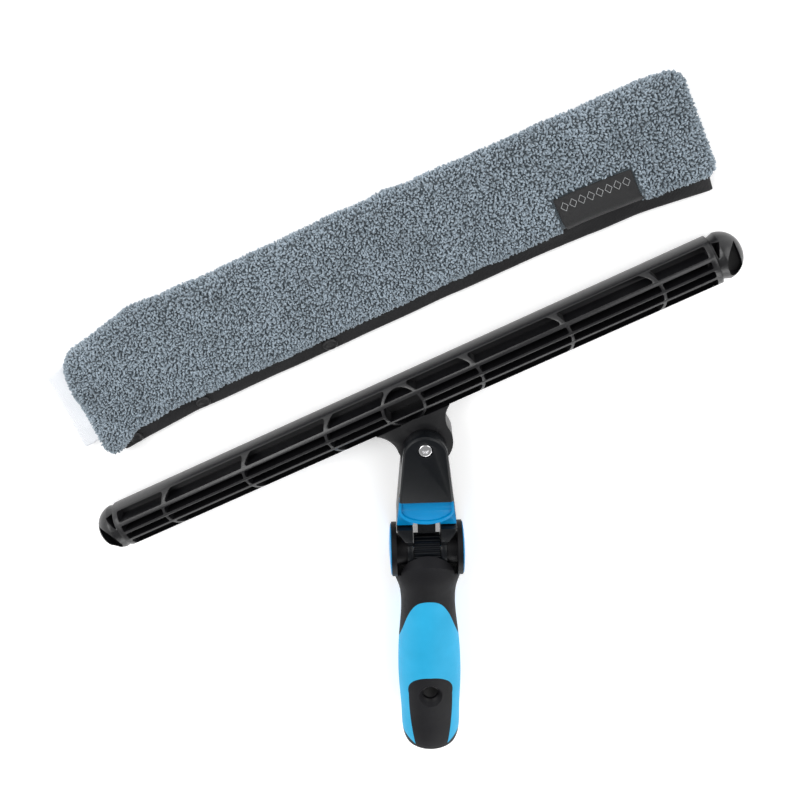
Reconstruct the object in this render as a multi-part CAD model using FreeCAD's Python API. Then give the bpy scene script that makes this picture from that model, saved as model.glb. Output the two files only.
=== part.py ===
import FreeCAD, Part
import math
import os

os.makedirs("parts", exist_ok=True)

# Window washing T-bar lying flat, front face up, with its sleeve laid beside it.
# Built with X along the bar, the handle towards -Y, the sleeve towards +Y and the
# table at z = 0, then moved so that the origin is the middle of the whole footprint.

Vec = FreeCAD.Vector

# ---- driving dimensions, mm ----
bar_length = 350.0            # over the end caps
bar_radius = 12.0
web_thickness = 2.0           # middle web between front and back pockets
edge_wall = 1.6               # solid strip along each edge of the bar
rib_thickness = 1.3
main_rib_thickness = 1.8      # the rib nearest the nose edge
rib_spacing = bar_radius * 0.408
cross_rib_pitch = 46.5
first_cross_rib = 41.5        # bar centre to the crown of the first curved rib
cross_rib_radius = bar_radius + 2.5
cross_rib_count = 3
gusset_bend = 2.7             # how much tighter the curved ribs bend on the nose side
hub_ring_radius = bar_radius - 1.6
end_cap_length = 13.5
end_wall = 2.6
pocket_corner = 0.8

pivot_offset = bar_radius + 12.0    # bar axis to swivel axis
lug_radius = 14.2
lug_thickness = 14.0
screw_radius = 2.0
screw_head_radius = 3.5
bush_wall = 1.5
washer_radius = 6.5
washer_thickness = 0.4
running_gap = 0.05            # radial gap of every running fit
soft_gap = 0.3                # gap between pieces that must not rub

handle_turn = 24.6            # handle turned from square to the bar, degrees
handle_height = 16.0          # middle plane of the handle above the table
hinge_offset = 64.3           # swivel axis to tilt axis
hinge_radius = 9.2
hinge_half_width = 10.2
neck_top = 28.0
neck_bottom = 0.8
neck_nose_half_width = 11.15
neck_mid_half_width = 13.9
neck_shoulder_half_width = 15.5
neck_edge_break = 1.0
pin_radius = 3.0
boss_radius = 8.4             # round bosses on the ears that bear on the neck

slide_deck = 21.0             # height of the surface that the thumb slide runs on
slide_plate = 3.2
pawl_back = 37.0              # swivel axis to the spring's moving seat on the pawl
spring_seat = 24.0            # swivel axis to the spring's fixed seat in the neck

wheel_radius = 8.2
wheel_half_width = 6.9
wheel_teeth = 24
tooth_depth = 1.1
spring_turns = 8
spring_wire = 0.35
spring_radius = 2.4

ear_inner = 15.8
ear_thickness = 2.7
ear_radius = 14.3
cap_radius = 13.5
cap_rim = 0.5
cap_dome = 0.9
grip_length = 126.7           # tilt axis to the end of the grip
skin = 2.2                    # soft over-moulding on the grip
socket_radius = 10.8
socket_depth = 56.0
lock_hole_radius = 4.2
lock_hole_reach = 87.2        # tilt axis to the lock hole
countersink_radius = 7.4

sleeve_length = 325.0
sleeve_width = 54.5
sleeve_height = 15.0
sleeve_wall = 5.0
lining_wall = 0.8
sleeve_middle_x = 16.0
sleeve_low_edge = 42.5        # bar axis to the sleeve's closing edge
strip_width = 9.0
strip_thickness = 3.2
strip_setback = 4.5           # how far the strip stops short of the sleeve's ends
stud_radius = 3.7
stud_stem_radius = 1.2
stud_height = 1.0
stud_places = (-133.0, -92.0, -20.5)
label_start = 105.0           # from the bar's middle
label_length = 37.0
label_width = 16.0
pad_width = 40.0
pad_edge = 7.0                # sleeve's closing edge to the pad's edge
pad_thickness = 3.0
pad_show = 13.0

half_bar = bar_length / 2
grip_end = hinge_offset + grip_length
lock_hole_place = hinge_offset + lock_hole_reach
cap_start = half_bar - end_cap_length
lug_low = bar_radius - lug_thickness / 2
lug_high = bar_radius + lug_thickness / 2
cheek_low = lug_low - washer_thickness - running_gap
cheek_high = lug_high + washer_thickness + running_gap
bush_radius = screw_radius + running_gap + bush_wall
ear_outer = ear_inner + ear_thickness


def box(x0, x1, y0, y1, z0, z1):
    return Part.makeBox(x1 - x0, y1 - y0, z1 - z0, Vec(x0, y0, z0))


def cyl(radius, start, end):
    start = Vec(*start)
    axis = Vec(*end) - start
    return Part.makeCylinder(radius, axis.Length, start, axis)


def arc(a, b, c):
    return Part.Arc(Vec(*a), Vec(*b), Vec(*c)).toShape()


def line(a, b):
    return Part.makeLine(Vec(*a), Vec(*b))


def fuse(shapes):
    shapes = list(shapes)
    if len(shapes) == 1:
        return shapes[0]
    return shapes[0].multiFuse(shapes[1:]).removeSplitter()


def cut(shape, tools):
    return shape.cut(Part.makeCompound(list(tools)))


def raise_outline(edges, z0, z1):
    """A flat outline drawn at z = 0, raised into a solid from z0 to z1."""
    face = Part.Face(Part.Wire(Part.__sortEdges__(edges)))
    solid = face.extrude(Vec(0, 0, z1 - z0))
    solid.translate(Vec(0, 0, z0))
    return solid


def closed(points):
    ends = points[1:] + points[:1]
    return [line(a, b) for a, b in zip(points, ends)]


def side_prism(points, half_width):
    """A solid whose outline is given as (y, z) in the handle's side view."""
    edges = closed([(-half_width, y, z) for y, z in points])
    return Part.Face(Part.Wire(edges)).extrude(Vec(2 * half_width, 0, 0))


def round_upright(solid, radius):
    """Round the edges of a pocket solid that stand upright."""
    upright = []
    for edge in solid.Edges:
        a = edge.Vertexes[0].Point
        b = edge.Vertexes[-1].Point
        if abs(a.x - b.x) < 1e-6 and abs(a.y - b.y) < 1e-6 and abs(a.z - b.z) > 1e-3:
            upright.append(edge)
    return solid.makeFillet(radius, upright)


# ---- bar ----
def rib_rows():
    """Clear bands between the lengthwise ribs, from the handle edge to the nose edge."""
    edge = bar_radius - edge_wall
    half = rib_thickness / 2
    main = main_rib_thickness / 2
    return [(-edge, -rib_spacing - half), (-rib_spacing + half, -half),
            (half, rib_spacing - main), (rib_spacing + main, edge)]


def curved_x(crown, radius, y):
    return crown - radius + math.sqrt(radius ** 2 - y ** 2)


def bar_pocket(near, far, low, high):
    """One pocket between two curved ribs; near and far are (crown x, radius) or (x, None)."""
    def at(wall, y):
        crown, radius = wall
        return crown if radius is None else curved_x(crown, radius, y)

    def wall_edge(wall):
        middle = (low + high) / 2
        if wall[1] is None:
            return line((wall[0], low, 0), (wall[0], high, 0))
        return arc((at(wall, low), low, 0), (at(wall, middle), middle, 0), (at(wall, high), high, 0))

    edges = [wall_edge(near), wall_edge(far)]
    edges.append(line((at(near, low), low, 0), (at(far, low), low, 0)))
    edges.append(line((at(near, high), high, 0), (at(far, high), high, 0)))
    pocket = raise_outline(edges, web_thickness / 2, bar_radius + 1)
    return round_upright(pocket, pocket_corner)


def bar_pockets():
    half = rib_thickness / 2
    walls = [(hub_ring_radius + half, hub_ring_radius + half)]
    for i in range(cross_rib_count):
        crown = first_cross_rib + i * cross_rib_pitch
        walls.append((crown - half, cross_rib_radius - half))
        walls.append((crown + half, cross_rib_radius + half))
    walls.append((cap_start - end_wall, None))
    pockets = []
    for low, high in rib_rows():
        bend = gusset_bend if low > rib_spacing else 0.0
        for near, (crown, radius) in zip(walls[0::2], walls[1::2]):
            tighter = None if radius is None else radius - bend
            pockets.append(bar_pocket(near, (crown, tighter), low, high))
    pockets += [p.mirror(Vec(0, 0, 0), Vec(1, 0, 0)) for p in pockets]
    hub = cyl(hub_ring_radius - half, (0, 0, web_thickness / 2), (0, 0, bar_radius + 1))
    main = main_rib_thickness / 2
    reach = bar_radius
    for low, high in [(-reach, -rib_spacing - half), (-rib_spacing + half, rib_spacing - main),
                      (rib_spacing + main, reach)]:
        pockets.append(hub.common(box(-reach, reach, low, high, 0, bar_radius + 1)))
    pockets += [p.mirror(Vec(0, 0, 0), Vec(0, 0, 1)) for p in pockets]
    return pockets


def bar_body():
    core = cyl(bar_radius, (-cap_start, 0, 0), (cap_start, 0, 0))
    lug = cyl(lug_radius, (0, -pivot_offset, -lug_thickness / 2), (0, -pivot_offset, lug_thickness / 2))
    flare_foot = (lug_radius, -pivot_offset, 0)
    flare_top = (lug_radius + 6.5, -bar_radius + 2.0, 0)
    flare_mid = (lug_radius + 1.1, -pivot_offset + 8.2, 0)
    edges = [arc(flare_foot, flare_mid, flare_top)]
    mirrored = [(-x, y, z) for x, y, z in (flare_foot, flare_mid, flare_top)]
    edges.append(arc(*mirrored))
    edges.append(line(flare_foot, mirrored[0]))
    edges.append(line(flare_top, mirrored[2]))
    flare = raise_outline(edges, -lug_thickness / 2, lug_thickness / 2)
    seat = box(-lug_radius, lug_radius, -bar_radius + 1.9, -bar_radius + 5.0, -2, 2)
    body = fuse([core, lug, flare, seat])
    tools = bar_pockets()
    tools.append(cyl(bush_radius, (0, -pivot_offset, -20), (0, -pivot_offset, 20)))
    for side in (-1, 1):
        tools.append(cyl(4.0, (side * (cap_start - end_wall - 1), 0, 0), (side * (cap_start + 1), 0, 0)))
    body = cut(body, tools)
    body.translate(Vec(0, 0, bar_radius))
    return body


def end_cap(side):
    """Rounded end with a teardrop pocket and a notch open to the front, and the same at the back."""
    neck = bar_radius - 1.4
    shoulder = bar_radius - 0.4
    dome = end_cap_length - 4.0
    edges = [line((0, 0, 0), (0, neck, 0)), line((0, neck, 0), (1.2, neck, 0)),
             line((1.2, neck, 0), (4.0, shoulder, 0))]
    middle = (4.0 + dome * math.sin(math.radians(45)), shoulder * math.cos(math.radians(45)), 0)
    edges.append(arc((4.0, shoulder, 0), middle, (end_cap_length, 0, 0)))
    edges.append(line((end_cap_length, 0, 0), (0, 0, 0)))
    cap = Part.Face(Part.Wire(edges)).revolve(Vec(0, 0, 0), Vec(1, 0, 0), 360)
    chord = end_cap_length - 2.8
    nose_point = (chord, 6.6, 0)
    low_point = (chord, -6.6, 0)
    inner_point = (3.6, -5.0, 0)
    outline = [line(nose_point, low_point),
               arc(low_point, (7.2, -9.1, 0), inner_point),
               arc(inner_point, (5.2, 2.2, 0), nose_point)]
    notch = closed([(1.0, 9.6, 0), (1.0, 3.4, 0), (1.5, 3.4, 0), (4.3, 9.6, 0)])
    tools = [raise_outline(edges, web_thickness / 2, bar_radius + 1) for edges in (outline, notch)]
    tools += [t.mirror(Vec(0, 0, 0), Vec(0, 0, 1)) for t in tools]
    stub = cyl(4.0, (-end_wall, 0, 0), (1.0, 0, 0))
    cap = fuse([cut(cap, tools), stub])
    if side < 0:
        cap = cap.mirror(Vec(0, 0, 0), Vec(1, 0, 0))
    cap.translate(Vec(side * cap_start, 0, bar_radius))
    return cap


# ---- swivel, about the origin of the handle's own frame ----
def swivel_bush():
    outer = cyl(bush_radius, (0, 0, lug_low), (0, 0, lug_high))
    return outer.cut(cyl(screw_radius + running_gap, (0, 0, lug_low - 1), (0, 0, lug_high + 1)))


def swivel_washers():
    rings = []
    for z in (lug_low - washer_thickness, lug_high):
        ring = cyl(washer_radius, (0, 0, z), (0, 0, z + washer_thickness))
        rings.append(ring.cut(cyl(screw_radius + running_gap, (0, 0, z - 1), (0, 0, z + 2))))
    return Part.makeCompound(rings)


head_seat = neck_top - 2.2
nut_height = 2.4
nut_floor = neck_bottom + 0.3


def swivel_screw():
    head = cyl(screw_head_radius, (0, 0, head_seat), (0, 0, head_seat + 2.0))
    head = head.makeFillet(0.9, [e for e in head.Edges if e.Vertexes[0].Z > head_seat + 1.9
                                 and e.Curve.TypeId == "Part::GeomCircle"])
    lobes = [cyl(0.55, (1.05 * math.cos(i * math.pi / 3), 1.05 * math.sin(i * math.pi / 3), head_seat + 0.8),
                 (1.05 * math.cos(i * math.pi / 3), 1.05 * math.sin(i * math.pi / 3), head_seat + 3))
             for i in range(6)]
    socket = [cyl(1.2, (0, 0, head_seat + 0.8), (0, 0, head_seat + 3))]
    shank = cyl(screw_radius, (0, 0, nut_floor), (0, 0, head_seat + 0.5))
    return cut(fuse([head, shank]), lobes + socket)


def hexagon(across_corners, z0, z1):
    points = []
    for i in range(6):
        angle = math.radians(60 * i)
        points.append((across_corners * math.cos(angle), across_corners * math.sin(angle), 0))
    return raise_outline(closed(points), z0, z1)


def swivel_nut():
    nut = hexagon(4.0, nut_floor, nut_floor + nut_height)
    return nut.cut(cyl(screw_radius, (0, 0, -1), (0, 0, 10)))


# ---- neck ----
def neck_outline(z0, z1):
    nose_y = -3.6
    half = neck_nose_half_width
    taper_end = -hinge_offset + boss_radius + 1.2
    points = [(half, nose_y, 0), (neck_mid_half_width, -31.0, 0), (neck_shoulder_half_width, -46.0, 0),
              (hinge_half_width, taper_end, 0), (hinge_half_width, -hinge_offset - hinge_radius, 0)]
    mirrored = [(-x, y, z) for x, y, z in points]
    edges = [line(a, b) for a, b in zip(points, points[1:])]
    edges += [line(a, b) for a, b in zip(mirrored, mirrored[1:])]
    edges.append(line(points[-1], mirrored[-1]))
    edges.append(arc(points[0], (0, nose_y + half, 0), mirrored[0]))
    return raise_outline(edges, z0, z1)


def neck_body():
    shape = neck_outline(neck_bottom, neck_top)
    top_edges = []
    for edge in shape.Edges:
        ends = [v.Point for v in edge.Vertexes]
        if all(abs(p.z - neck_top) < 1e-6 and p.y > -47 for p in ends):
            top_edges.append(edge)
    shape = shape.makeChamfer(neck_edge_break, top_edges)
    h = hinge_offset
    mid = handle_height
    side = [(10, neck_bottom), (10, neck_top), (-h + 11.5, neck_top), (-h + 7.4, mid + 8.6), (-h + 6.0, mid + 6.9),
            (-h, mid + 1), (-h, mid - 1), (-h + 6.0, mid - 6.9), (-h + 7.4, mid - 8.6), (-h + 11.5, neck_bottom)]
    shape = shape.common(side_prism(side, 30))
    barrel = cyl(hinge_radius, (-hinge_half_width, -h, mid), (hinge_half_width, -h, mid))
    shape = fuse([shape, barrel])
    clear = lug_radius + 0.6
    slot = cyl(clear, (0, 0, cheek_low), (0, 0, cheek_high))
    mouth = box(-30, 30, -3.0, 30, cheek_low, cheek_high)
    inner = wheel_half_width + soft_gap
    rear = -hinge_offset - hinge_radius - 1
    tools = [slot, mouth]
    # room at the slot's two corners for the bar's flare at the ends of the swing
    flare_room = 0.58 * clear
    for side in (-1, 1):
        corner = box(flare_room, 30, -clear + 0.4, -2.0, cheek_low, cheek_high)
        tools.append(corner if side > 0 else corner.mirror(Vec(0, 0, 0), Vec(1, 0, 0)))
    tools.append(cyl(screw_radius + running_gap, (0, 0, -1), (0, 0, 40)))
    tools.append(cyl(screw_head_radius + 0.3, (0, 0, head_seat), (0, 0, neck_top + 1)))
    tools.append(hexagon(4.05, nut_floor, cheek_low + 1))
    # deck and undercut for the thumb slide
    tools.append(box(-30, 30, -60, -29.5, slide_deck, neck_top + 1).cut(box(-30, 30, -61, -45.5, slide_deck - 1, 40)))
    tools.append(box(-30, 30, -31, -26.6, slide_deck, slide_deck + slide_plate + 0.5))
    tools.append(box(-11.9, 11.9, -27, -22.6, slide_deck, slide_deck + slide_plate + 0.5))
    # open front between the cheeks, pawl channel and stem slot
    tools.append(box(-inner, inner, rear, -45.0, 5.0, neck_top + 1))
    tools.append(cyl(wheel_radius + 0.6, (-inner, -h, mid), (inner, -h, mid)))
    tools.append(box(-inner, inner, rear, -h, -1, neck_top + 1))
    tools.append(box(-4.9, 4.9, -46, -33.5, 12.2, 19.8))
    tools.append(box(-3.4, 3.4, -34, -spring_seat, 12.6, 19.4))
    tools.append(box(-2.7, 2.7, -44.0, -33.6, 19, slide_deck + 1))
    tools.append(cyl(pin_radius + running_gap, (-20, -h, mid), (20, -h, mid)))
    return cut(shape, tools)


def lock_slide():
    """Thumb slide: a plate on the deck, a scooped dish with a raised lip, two legs and a stem."""
    low = slide_deck + 0.1
    top = slide_deck + slide_plate
    lip_low = -41.2

    def width(y):
        share = (-31.0 - y) / 15.0
        return neck_mid_half_width + share * (neck_shoulder_half_width - neck_mid_half_width) - 0.15

    plate_points = [(11.5, -26.0), (11.5, -29.9), (width(-30), -30.0), (width(-44.6), -44.6), (6.9, -44.6),
                    (6.9, -39.0)]
    mirrored = [(-x, y) for x, y in reversed(plate_points)]
    plate = raise_outline(closed([(x, y, 0) for x, y in plate_points + mirrored]), low, top)

    def smile(inset):
        half = width(-31.0) - inset
        start = -30.0 if inset == 0 else -29.0
        corner = -35.4
        belly = Part.Ellipse(Vec(0, corner, 0), half + 0.3, corner - lip_low - inset)
        edges = [line((-half, start, 0), (half, start, 0)),
                 line((half, start, 0), (half + 0.3, corner, 0)),
                 line((-half, start, 0), (-half - 0.3, corner, 0)),
                 Part.Edge(belly, math.pi, 2 * math.pi)]
        return raise_outline(edges, low, 40)

    wedge = side_prism([(-29.0, low), (-29.0, top), (-31.6, top), (-41.4, 29.6), (-42, 29.6), (-42, low)], 20)
    body = smile(0).common(wedge)
    scoop_radius = 12.4
    scoop = cyl(scoop_radius, (-20, -31.0, top - 0.6 + scoop_radius), (20, -31.0, top - 0.6 + scoop_radius))
    dish = smile(1.3).common(scoop)
    ahead = box(-20, 20, -31.6, -20, top, 40)
    stem = box(-2.4, 2.4, -43.6, -38.0, 19.5, low + 0.5)
    return fuse([cut(fuse([plate, body]), [dish, ahead]), stem])


def lock_pawl():
    tip = -hinge_offset + wheel_radius + 0.3
    mid = handle_height
    points = [(tip, mid - 0.6), (tip + 3.0, mid - 3.3), (-pawl_back, mid - 3.3), (-pawl_back, 19.5),
              (tip + 3.0, 19.5), (tip, mid + 0.6)]
    return side_prism(points, 4.6)


def lock_spring():
    length = pawl_back - spring_seat - 2 * spring_wire - 0.1
    helix = Part.makeHelix(length / spring_turns, length, spring_radius)
    section = Part.Wire(Part.makeCircle(spring_wire, Vec(spring_radius, 0, 0), Vec(0, 1, 0)))
    coil = Part.Wire(helix).makePipeShell([section], True, True)
    coil.rotate(Vec(0, 0, 0), Vec(1, 0, 0), -90)
    coil.translate(Vec(0, -pawl_back + spring_wire + 0.05, handle_height))
    return coil


# ---- hinge ----
def detent_wheel():
    h = hinge_offset
    mid = handle_height
    w = wheel_half_width
    wheel = cyl(wheel_radius, (-w, -h, mid), (w, -h, mid))
    grooves = []
    for i in range(wheel_teeth):
        angle = math.radians(i * 360 / wheel_teeth)
        y = -h + (wheel_radius + 0.2) * math.cos(angle)
        z = mid + (wheel_radius + 0.2) * math.sin(angle)
        grooves.append(cyl(tooth_depth * 0.75, (-w - 1, y, z), (w + 1, y, z)))
    grooves.append(cyl(pin_radius, (-w - 1, -h, mid), (w + 1, -h, mid)))
    return cut(wheel, grooves)


def tilt_pin():
    reach = ear_outer - 2.0
    return cyl(pin_radius, (-reach, -hinge_offset, handle_height), (reach, -hinge_offset, handle_height))


def pivot_cap(side):
    y = -hinge_offset
    mid = handle_height
    rim = cyl(cap_radius, (ear_outer, y, mid), (ear_outer + cap_rim, y, mid))
    sphere_radius = (cap_radius ** 2 + cap_dome ** 2) / (2 * cap_dome)
    ball = Part.makeSphere(sphere_radius, Vec(ear_outer + cap_rim + cap_dome - sphere_radius, y, mid))
    dome = cyl(cap_radius, (ear_outer + cap_rim, y, mid), (ear_outer + 4, y, mid)).common(ball)
    stub = cyl(pin_radius - 0.1, (ear_outer - 1.9, y, mid), (ear_outer + 0.2, y, mid))
    cap = fuse([rim, dome, stub])
    if side < 0:
        cap = cap.mirror(Vec(0, 0, 0), Vec(1, 0, 0))
    return cap


# ---- grip ----
# distance behind the tilt axis, half width and half thickness of the grip's outside
grip_stations = [(-8.3, 15.4, 13.6), (3.7, 17.0, 14.2), (11.2, 18.2, 14.6), (15.7, 17.4, 14.5),
                 (20.7, 15.8, 14.1), (27.7, 14.7, 13.8), (40.7, 14.9, 14.6), (55.7, 16.3, 15.4),
                 (71.7, 17.2, 15.86), (90.7, 17.1, 15.7), (107.7, 16.4, 15.2),
                 (grip_length - 4.0, 15.7, 14.6), (grip_length, 14.6, 13.6)]


def grip_loft(inset):
    wires = []
    for station, half_width, half_thick in grip_stations:
        a = half_width - inset
        b = half_thick - inset
        ellipse = Part.Ellipse(Vec(0, 0, 0), a, b).toShape()
        ring = Part.Wire(ellipse)
        ring.rotate(Vec(0, 0, 0), Vec(1, 0, 0), 90)
        ring.translate(Vec(0, -hinge_offset - station, handle_height))
        wires.append(ring)
    return Part.makeLoft(wires, True, False)


def hinge_room():
    """Space that the neck's barrel and cheeks sweep between the ears."""
    h = hinge_offset
    return cyl(hinge_radius + 0.5, (-ear_inner, -h, handle_height), (ear_inner, -h, handle_height))


root_line = -hinge_offset - 11.0


def tongue_cone():
    centre = Vec(0, -hinge_offset - 13.0, 25.4)
    return Part.makeCone(14.4, 9.2, 5.6, centre, Vec(0, 0, 1))


def grip_outer():
    whole = grip_loft(0)
    body = whole.common(box(-40, 40, -300, root_line, -40, 80))
    tongue = whole.common(tongue_cone())
    behind = whole.common(box(-40, 40, root_line - 25, root_line, 25, 80))
    return fuse([body, tongue, behind])


def pole_socket():
    start = -grip_end - 1
    return cyl(socket_radius, (0, start, handle_height), (0, -grip_end + socket_depth, handle_height))


def lock_hole():
    y = -lock_hole_place
    top = handle_height + 16.0
    hole = cyl(lock_hole_radius, (0, y, handle_height), (0, y, top + 2))
    sink = Part.makeCone(lock_hole_radius, countersink_radius, 3.6, Vec(0, y, top - 3.9), Vec(0, 0, 1))
    lip = cyl(countersink_radius, (0, y, top - 0.3), (0, y, top + 2))
    return fuse([hole, sink, lip])


def blue_outline():
    """Front view of the blue zone: arched top, open to the sides, arch-shaped gap for the black."""
    wide = 22.0
    crown = [(5.0, -26.4), (9.0, -31.5), (11.7, -38.3), (13.9, -46.0), (16.0, -54.2), (17.3, -62.7)]
    left = [Vec(-x, y, 0) for x, y in reversed(crown)]
    right = [Vec(x, y, 0) for x, y in crown]
    arch = Part.BSplineCurve()
    arch.interpolate(left + [Vec(0, -25.0, 0)] + right)
    half_outline = [
        ((17.3, -62.7), (wide, -62.7)),
        ((wide, -62.7), (wide, -118.7)),
        ((wide, -118.7), (15.4, -119.7)),
        ((15.4, -119.7), (9.0, -124.3)),
        ((9.0, -124.3), (11.3, -106.7), (12.0, -87.7)),
        ((12.0, -87.7), (8.9, -77.3), (0, -74.1)),
    ]
    edges = [arch.toShape()]
    for points in half_outline:
        for side in (-1, 1):
            corners = [(side * x, y, 0) for x, y in points]
            edges.append(line(*corners) if len(corners) == 2 else arc(*corners))
    zone = raise_outline(edges, -20, 60)
    zone.translate(Vec(0, -hinge_offset, 0))
    return zone


def grip_pieces():
    outer = grip_outer()
    inner = grip_loft(skin).common(box(-40, 40, -grip_end + 1.5, root_line - 1.6, -40, 80))
    h = hinge_offset
    mid = handle_height
    ears = []
    bosses = []
    for side in (-1, 1):
        disc = cyl(ear_radius, (side * ear_inner, -h, mid), (side * ear_outer, -h, mid))
        root = cyl(ear_radius, (side * 9.0, -h, mid), (side * ear_outer, -h, mid))
        root = root.common(box(-30, 30, root_line - 15, root_line - 0.8, -40, 80))
        boss = cyl(boss_radius, (side * (hinge_half_width + 0.1), -h, mid), (side * (ear_inner + 0.5), -h, mid))
        ears += [disc, root]
        bosses.append(boss)
    core = cut(fuse([inner] + ears), [hinge_room(), pole_socket(), lock_hole()])
    pin_hole = cyl(pin_radius, (-30, -h, mid), (30, -h, mid))
    core = fuse([core] + bosses).cut(pin_hole)
    skin_shape = cut(outer, [core, hinge_room(), pole_socket(), lock_hole()] + ears)
    skin_shape = skin_shape.cut(inner)
    blue = skin_shape.common(blue_outline())
    rubber = skin_shape.cut(blue_outline())
    front, end = sorted(rubber.Solids, key=lambda solid: -solid.CenterOfMass.y)
    return core, front, end, blue


# ---- sleeve ----
def stadium(x0, x1, y0, y1, z0, z1):
    """A flat tube with round edges, running along X."""
    radius = (z1 - z0) / 2
    mid = (z0 + z1) / 2
    parts = [box(x0, x1, y0 + radius, y1 - radius, z0, z1)]
    for y in (y0 + radius, y1 - radius):
        parts.append(cyl(radius, (x0, y, mid), (x1, y, mid)))
    return fuse(parts)


sleeve_x0 = sleeve_middle_x - sleeve_length / 2
sleeve_x1 = sleeve_middle_x + sleeve_length / 2
sleeve_y1 = sleeve_low_edge + sleeve_width
pocket_low = sleeve_wall
pocket_high = sleeve_height - sleeve_wall


def sleeve_cover():
    outer = stadium(sleeve_x0, sleeve_x1, sleeve_low_edge, sleeve_y1, 0, sleeve_height)
    inside = stadium(sleeve_x0 - 1, sleeve_x1 + 1, sleeve_low_edge + sleeve_wall, sleeve_y1 - sleeve_wall,
                     pocket_low, pocket_high)
    return outer.cut(inside)


def sleeve_lining():
    y0 = sleeve_low_edge + sleeve_wall
    y1 = sleeve_y1 - sleeve_wall
    outer = stadium(sleeve_x0, sleeve_x1, y0, y1, pocket_low, pocket_high)
    w = lining_wall
    return outer.cut(stadium(sleeve_x0 - 1, sleeve_x1 + 1, y0 + w, y1 - w, pocket_low + w, pocket_high - w))


strip_y0 = sleeve_low_edge - strip_width + 1.0


def sleeve_edge_strip():
    strip = box(sleeve_x0 + strip_setback, sleeve_x1 - strip_setback, strip_y0, sleeve_low_edge + 1.0, 0.3, strip_thickness)
    strip = strip.cut(stadium(sleeve_x0 - 1, sleeve_x1 + 1, sleeve_low_edge, sleeve_y1, 0, sleeve_height))
    tools = []
    for x in stud_places:
        tools.append(cyl(stud_stem_radius, (x, stud_line, -1), (x, stud_line, 10)))
    return cut(strip, tools)


stud_line = strip_y0 + strip_width / 2 - 0.5


def snap_caps():
    studs = []
    for x in stud_places:
        top = strip_thickness + stud_height
        disc = cyl(stud_radius, (x, stud_line, strip_thickness), (x, stud_line, top))
        disc = disc.makeFillet(0.6, [e for e in disc.Edges if e.Vertexes[0].Z > top - 0.1
                                     and e.Curve.TypeId == "Part::GeomCircle"])
        stem = cyl(stud_stem_radius, (x, stud_line, stud_stem_radius), (x, stud_line, strip_thickness + 0.5))
        studs.append(disc.fuse(stem))
    return Part.makeCompound(studs)


def snap_sockets():
    sockets = []
    for x in stud_places:
        sockets.append(cyl(stud_stem_radius, (x, stud_line, 0.3), (x, stud_line, stud_stem_radius)))
    return Part.makeCompound(sockets)


def sleeve_label():
    label = box(label_start, label_start + label_length, sleeve_low_edge + sleeve_height / 2, sleeve_low_edge + label_width + 3,
                sleeve_height, sleeve_height + 0.6)
    return label


def scrub_pad():
    low = sleeve_height / 2 - pad_thickness / 2
    y0 = sleeve_low_edge + pad_edge
    return box(sleeve_x0 - pad_show, sleeve_x0 + 16, y0, y0 + pad_width, low, low + pad_thickness)


# ---- placing and writing ----
def in_handle_frame(shape):
    shape.rotate(Vec(0, 0, 0), Vec(0, 0, 1), -handle_turn)
    shape.translate(Vec(0, -pivot_offset, 0))
    return shape


def all_nodes():
    core, rubber, end_rubber, blue = grip_pieces()
    handle = {"swivel_bush": swivel_bush(), "swivel_washers": swivel_washers(), "swivel_screw": swivel_screw(),
              "swivel_nut": swivel_nut(), "neck_body": neck_body(), "lock_slide": lock_slide(),
              "lock_pawl": lock_pawl(), "lock_spring": lock_spring(), "detent_wheel": detent_wheel(),
              "tilt_pin": tilt_pin(), "pivot_cap_left": pivot_cap(-1), "pivot_cap_right": pivot_cap(1),
              "grip_core": core, "grip_rubber": rubber, "grip_end_rubber": end_rubber, "grip_insert": blue}
    nodes = {name: in_handle_frame(shape) for name, shape in handle.items()}
    nodes["bar_body"] = bar_body()
    nodes["bar_end_cap_left"] = end_cap(-1)
    nodes["bar_end_cap_right"] = end_cap(1)
    nodes["sleeve_cover"] = sleeve_cover()
    nodes["sleeve_lining"] = sleeve_lining()
    nodes["sleeve_edge_strip"] = sleeve_edge_strip()
    nodes["snap_caps"] = snap_caps()
    nodes["snap_sockets"] = snap_sockets()
    nodes["sleeve_label"] = sleeve_label()
    nodes["scrub_pad"] = scrub_pad()
    return nodes


nodes = all_nodes()
whole = FreeCAD.BoundBox()
for shape in nodes.values():
    whole.add(shape.optimalBoundingBox(False, False))
shift = Vec(-(whole.XMin + whole.XMax) / 2, -(whole.YMin + whole.YMax) / 2, -whole.ZMin)
for name, shape in nodes.items():
    shape.translate(shift)
    print(name, "valid", shape.isValid(), "solids", len(shape.Solids), "volume", round(shape.Volume, 1))
    shape.exportStep("parts/" + name + ".step")

turn = math.radians(handle_turn)
forward = Vec(math.sin(turn), math.cos(turn), 0)
across = Vec(math.cos(turn), -math.sin(turn), 0)
pivot = Vec(0, -pivot_offset, 0) + shift
print("overall", round(whole.XLength, 2), round(whole.YLength, 2), round(whole.ZLength, 2))
print("shift", shift)
print("swivel axis at", pivot, "handle forward", forward, "across", across)
print("hinge", pivot - forward * hinge_offset + Vec(0, 0, handle_height))
print("socket mouth", pivot - forward * grip_end + Vec(0, 0, handle_height))
print("lock hole", pivot - forward * lock_hole_place)
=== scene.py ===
import math

import bmesh
import bpy
from mathutils import Euler, Matrix, Vector, noise


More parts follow.
